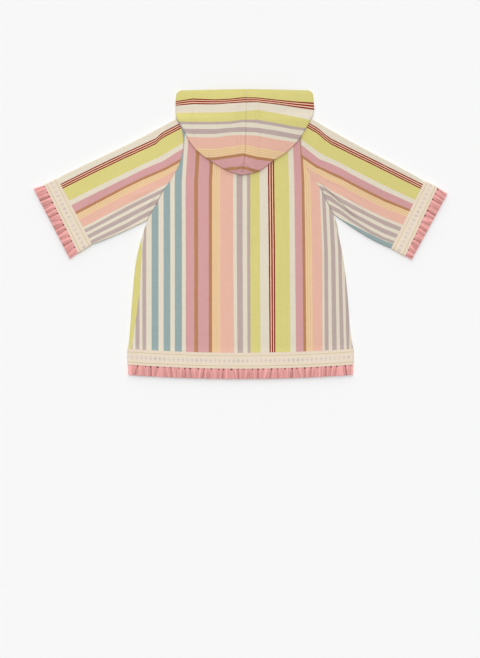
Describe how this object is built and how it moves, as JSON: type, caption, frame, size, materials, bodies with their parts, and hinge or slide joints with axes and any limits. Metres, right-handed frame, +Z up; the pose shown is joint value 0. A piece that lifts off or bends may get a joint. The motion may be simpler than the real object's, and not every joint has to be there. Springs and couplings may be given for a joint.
{
  "type": "child's hooded beach robe laid flat",
  "caption": "Child's hooded beach robe in striped woven cotton, laid flat with its back up and its hood folded down, with woven tape and pleated frills at hem and cuffs",
  "frame": {"origin": "the middle of the laid robe's outline, on the surface that it lies on", "axes": "+X runs across the robe from the sleeve on the picture's left to the one on its right, +Y from the hem to the hood, +Z up from the surface"},
  "size_m": [0.828, 0.5783, 0.0202],
  "materials": {
    "striped_cotton": "matt plain-woven cotton in multicoloured lengthwise stripes",
    "woven_tape": "matt cream woven tape with two fine yellow-green lines",
    "frill_cotton": "matt pink cotton in soft pressed pleats"
  },
  "bodies": {
    "root": {"back": "striped_cotton", "front_left": "striped_cotton", "front_right": "striped_cotton", "sleeve_left": "striped_cotton", "sleeve_right": "striped_cotton", "hood_left": "striped_cotton", "hood_right": "striped_cotton", "hem_tape_back": "woven_tape", "hem_tape_front_left": "woven_tape", "hem_tape_front_right": "woven_tape", "cuff_tape_left": "woven_tape", "cuff_tape_right": "woven_tape", "hem_frill_back": "frill_cotton", "hem_frill_front_left": "frill_cotton", "hem_frill_front_right": "frill_cotton", "cuff_frill_left": "frill_cotton", "cuff_frill_right": "frill_cotton"}
  },
  "joints": []
}
